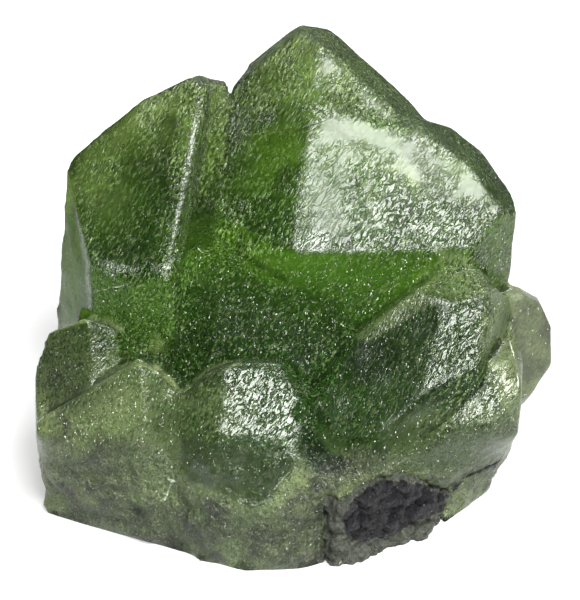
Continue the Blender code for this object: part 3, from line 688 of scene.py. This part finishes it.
    shade = shade * (1 - 0.8 * area(xs, ys, BAND_BRIGHT, 2.0) * shown)
    # Painted shade in the valley and in inward creases.
    valley = area(x, y, VALLEY, 0.6) * shown
    shade = np.maximum(shade, np.maximum(valley, crease * 0.8))
    shade = np.maximum(shade, area(x, y, STRIP_LEFT, 0.4) * 0.8 * shown)
    shade = np.maximum(shade, area(x, y, VALLEY_FRONT, 0.5) * 0.7 * shown)
    shade = np.maximum(shade, area(xs, ys, FRONT_BODY, 1.0) * 0.75 * shown)
    # The nook between the crystals gets painted shade, a forward-laid normal and no frost.
    nook = area(xs, ys, NOOK, 1.0) * shown
    shade = np.maximum(shade, nook)
    fold = np.maximum(crease * 1.3, nook * 0.9)
    for outline, share in ((LEDGE, 1.9), (VALLEY, 0.7), (LEFT_SIDE, 0.15), (LEFT_OF_FRONT, 0.5), (UNDER_RIGHT, 0.8), (GREY_TOP, 0.7), (BETWEEN, 0.4), (FRONT_LEFT_SIDE, 0.55)):
        fold = np.maximum(fold, area(x, y, outline, 0.8) * share * shown)
    fold = np.maximum(fold, area(x, y, STRIP_LEFT, 0.4) * 0.5 * shown)
    for places, wide in SEAMS:
        fold = np.maximum(fold, near_line(x, y, places, wide) * 1.5 * shown)
    broken = step_up(noise_at(mm, 1.6, 51.0), -0.35, 0.1)
    fold = fold * (1 - near_line(x, y, STRIP, 0.6) * shown * (0.35 + 0.65 * broken))
    maps["glints"] = maps["glints"] * 0.75 * (1 - crease)
    maps["coarse"] = maps["coarse"] * (1 - crease)
    return {**maps, "frost": frost * (1 - nook), "shade": shade, "fold": fold}


def crystal_piece():
    piece = remeshed("peridot_cluster", "crystal_cluster", CELL_MM)
    mesh = piece.data
    co = get_points(mesh)
    edges = get_edges(mesh)
    foot = co[:, 2] < 0.15 * MM
    x, y = view_places(co)
    shown = step_up(normals_of(mesh) @ np.array(OUT), -0.15, 0.1)
    ease = 0.05 + 0.10 * (1 - step_up(y, -6.5, -3.0)) * shown + 0.2 * (1 - shown)
    ease = np.maximum(ease, 0.9 * area(x, y, STEP_LEFT, 1.5) * shown)
    co = smoothed(co, edges, 40, 0.5 * ease[:, None])
    base = (1 - step_up(y, -13.5, -11.0)) * shown
    base = base * (1 - 0.9 * area(x, y, DIAGONAL, 1.0))
    co = smoothed(co, edges, 300, 0.5 * base[:, None])
    co = smoothed(co, edges, 200, 0.5 * area(x, y, VALLEY_LEFT, 1.5)[:, None] * shown[:, None])
    co[foot, 2] = 0
    set_points(mesh, co)
    n = normals_of(mesh)
    mm = co / MM
    x, y = view_places(co)
    shown = step_up(n @ np.array(OUT), -0.15, 0.1)
    low = (1 - step_up(y, -14.5, -11.5)) * shown + 0.3 * (1 - shown)
    crease = creases(co, n, edges, CELL_MM)
    wave = noise_at(mm, 0.35) * (0.10 + 0.4 * low) + noise_at(mm, 0.9, 7.0) * (0.03 + 0.25 * low)
    wave = wave + noise_at(mm, 2.1, 3.0) * (0.012 + 0.10 * low)
    wave[foot] = 0
    co = co + n * (wave[:, None] + 0.05) * MM
    co[foot, 2] = 0
    co = np.clip(co, np.array(CAD_LOW), np.array(CAD_HIGH))
    set_points(mesh, co)
    for name, values in crystal_maps(x, y, mm, shown, crease).items():
        add_attribute(mesh, name, values)
    mesh.shade_smooth()
    mesh.materials.append(peridot_material())
    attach(piece, "root")
    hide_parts("peridot_cluster")
    return piece


def matrix_piece():
    piece = remeshed("dark_matrix", "matrix_lump", 0.16)
    mesh = piece.data
    co = get_points(mesh)
    foot = co[:, 2] < 0.1 * MM
    co = smoothed(co, get_edges(mesh), 6)
    set_points(mesh, co)
    n = normals_of(mesh)
    mm = co / MM
    lump = 0.38 + noise_at(mm, 0.7, 2.0) * 0.5 + noise_at(mm, 1.6, 9.0) * 0.3 + noise_at(mm, 3.4, 4.0) * 0.12
    co = co + n * lump[:, None] * MM
    co[foot, 2] = 0
    co = np.clip(co, np.array(CAD_LOW), np.array(CAD_HIGH))
    set_points(mesh, co)
    x, y = view_places(co)
    add_attribute(mesh, "crust", step_up(outline_distance(x, y, MATRIX_SEEN), -0.6, 1.2))
    mesh.shade_smooth()
    mesh.materials.append(matrix_material())
    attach(piece, "root")
    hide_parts("dark_matrix")
    return piece


def ridge(bm, trees, places, half_wide, high, sink=0.05, sides=7, seed=0.0):
    """A tapering, uneven ridge along places of the view frame, on the surface that is seen there."""
    ends = [Vector((x, y, 0)) for x, y in places]
    walk = []
    for a, b in zip(ends, ends[1:]):
        steps = max(2, int((b - a).length / 0.12))
        walk += [a.lerp(b, i / steps) for i in range(steps)]
    walk.append(ends[-1])
    spots = []
    for i, place in enumerate(walk):
        stray = 0.06 * noise.noise(Vector((i * 0.45, seed, 3.0)))
        hit, normal = seen_on(trees, place.x + stray, place.y - stray)
        if hit is not None:
            spots.append((hit, normal))
    if len(spots) < 3:
        return
    rings = []
    for i, (hit, normal) in enumerate(spots):
        along = (spots[min(i + 1, len(spots) - 1)][0] - spots[max(i - 1, 0)][0]).normalized()
        across = along.cross(normal).normalized()
        t = i / (len(spots) - 1)
        swell = math.sin(math.pi * min(max(t, 0.04), 0.96)) ** 0.5
        swell *= 0.75 + 0.5 * noise.noise(Vector((i * 0.3, seed + 5.0, 1.0)))
        ring = []
        for k in range(sides):
            turn = 2 * math.pi * k / sides
            side = across * math.cos(turn) * half_wide * swell
            up = normal * (math.sin(turn) * high * swell - sink)
            ring.append(bm.verts.new(hit + (side + up) * MM))
        rings.append(ring)
    for a, b in zip(rings, rings[1:]):
        for k in range(sides):
            bm.faces.new((a[k], a[(k + 1) % sides], b[(k + 1) % sides], b[k]))
    bm.faces.new(rings[0][::-1])
    bm.faces.new(rings[-1])


def detail_piece(name, ridges, trees, material):
    bm = bmesh.new()
    for i, (places, half_wide, high) in enumerate(ridges):
        ridge(bm, trees, places, half_wide, high, seed=i * 3.7)
    bmesh.ops.recalc_face_normals(bm, faces=bm.faces)
    mesh = bpy.data.meshes.new(name)
    bm.to_mesh(mesh)
    bm.free()
    piece = link(bpy.data.objects.new(name, mesh))
    co = np.clip(get_points(mesh), np.array(CAD_LOW), np.array(CAD_HIGH))
    set_points(mesh, co)
    mesh.shade_smooth()
    mesh.materials.append(material)
    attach(piece, "root")
    return piece


def floor_piece():
    bm = bmesh.new()
    bmesh.ops.create_grid(bm, x_segments=1, y_segments=1, size=1.5)
    mesh = bpy.data.meshes.new("floor")
    bm.to_mesh(mesh)
    bm.free()
    piece = link(bpy.data.objects.new("floor", mesh))
    piece.location = (0, 0.022, -0.00002)
    mesh.materials.append(floor_material())
    return piece


# Light and camera
def area_light(name, azimuth, elevation, distance, size, radiance, colour=(1, 1, 1)):
    """A square soft light aimed at the cluster, its brightness given as seen by the cluster."""
    data = bpy.data.lights.new(name, "AREA")
    data.shape = "RECTANGLE"
    data.size, data.size_y = size
    data.energy = radiance * math.pi * size[0] * size[1]
    data.color = colour
    thing = link(bpy.data.objects.new(name, data))
    out = toward(azimuth, elevation)
    thing.location = VIEW_ORIGIN + out * distance
    thing.rotation_mode = "QUATERNION"
    thing.rotation_quaternion = out.to_track_quat("Z", "Y")
    return thing


def lights():
    area_light("key", 31.3, 59.0, 0.8, (0.42, 0.38), 31.0)
    area_light("back", 175, 50.0, 1.2, (1.6, 1.0), 2.2)
    world = bpy.data.worlds.new("room")
    world.use_nodes = True
    world.node_tree.nodes["Background"].inputs["Color"].default_value = (0.03, 0.03, 0.03, 1)
    world.node_tree.nodes["Background"].inputs["Strength"].default_value = 1.0
    bpy.context.scene.world = world
    bpy.context.scene.view_settings.view_transform = "Standard"


def camera():
    data = bpy.data.cameras.new("camera")
    data.lens = SENSOR * EYE_DISTANCE / (FIELD_MM * MM)
    data.sensor_width = SENSOR
    data.clip_start = 0.01
    thing = link(bpy.data.objects.new("camera", data))
    thing.location = EYE + Vector((-0.000333, 0, 0))
    thing.rotation_euler = (math.pi / 2 - VIEW_DOWN, 0, 0)
    bpy.context.scene.camera = thing


crystal = crystal_piece()
matrix = matrix_piece()
graph = bpy.context.evaluated_depsgraph_get()
seen = [BVHTree.FromObject(piece, graph) for piece in (crystal, matrix)]
detail_piece("pale_edges", PALE_RIDGES, seen, edge_material())
detail_piece("dark_seams", DARK_RIDGES, seen, matrix.data.materials[0])
floor_piece()
lights()
camera()
